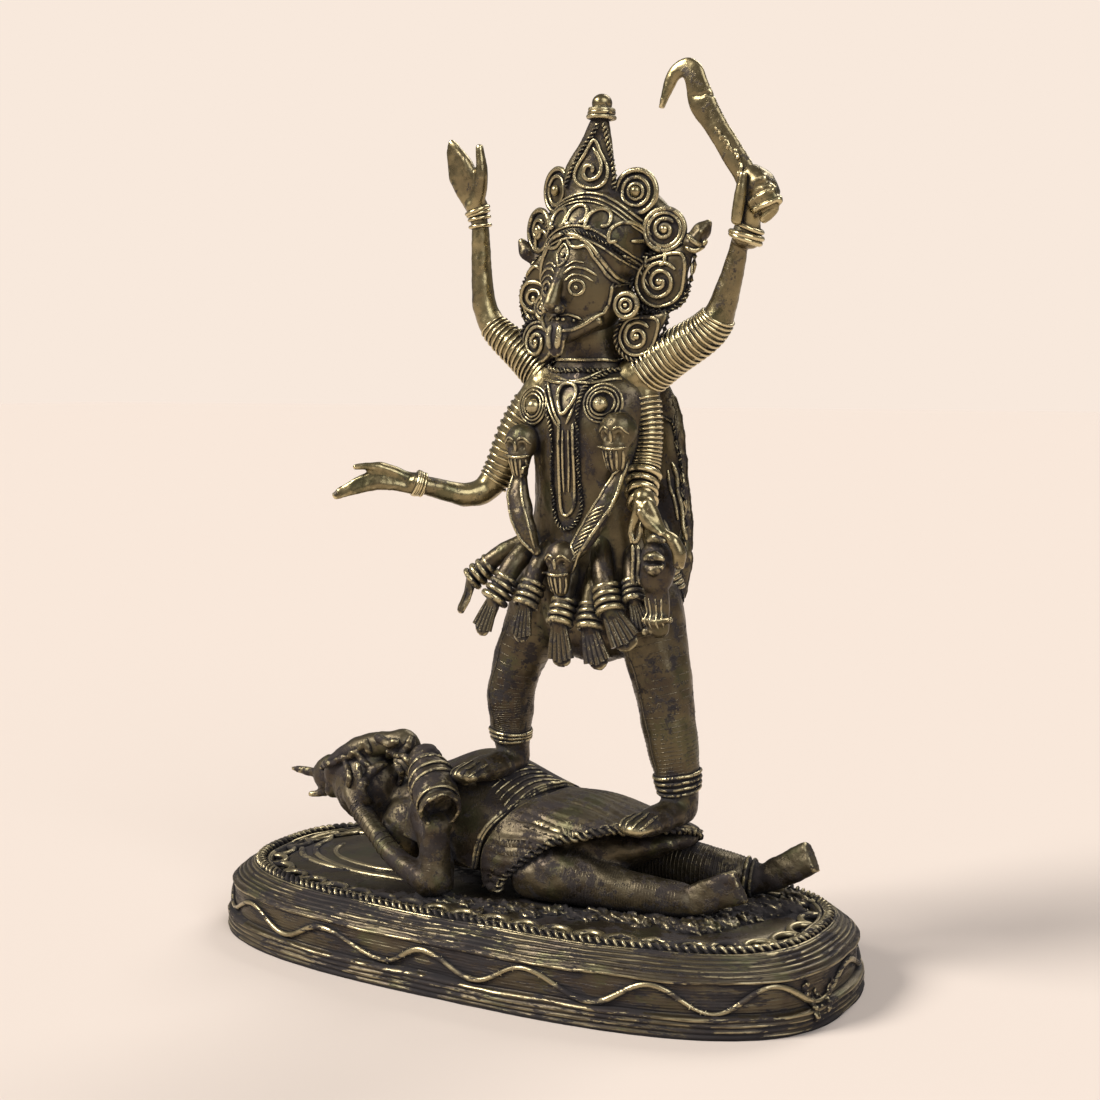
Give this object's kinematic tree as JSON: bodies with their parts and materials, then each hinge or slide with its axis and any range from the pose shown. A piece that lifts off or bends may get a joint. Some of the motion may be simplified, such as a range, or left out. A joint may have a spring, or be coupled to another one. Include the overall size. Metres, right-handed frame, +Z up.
{
  "type": "kali figure",
  "caption": "Folk cast brass Kali with raised sword, treading on a lying man, on an oval hollow base with a wave band.",
  "frame": {"origin": "middle of the base's rectangle at its underside, where the base meets the table", "axes": "+X along the oval base towards the lying man's feet, -Y the way that the standing figure faces, +Z up"},
  "size_m": [0.22, 0.109, 0.2791],
  "materials": {
    "base_brass": "aged, dull, dark patina in the hollows",
    "dark_brass": "aged, dull, dark patina in the hollows",
    "figure_brass": "aged, worn bright on the raised edges"
  },
  "bodies": {
    "root": {"oval_base": "base_brass", "lying_man": "dark_brass", "standing_goddess": "figure_brass"}
  },
  "joints": []
}
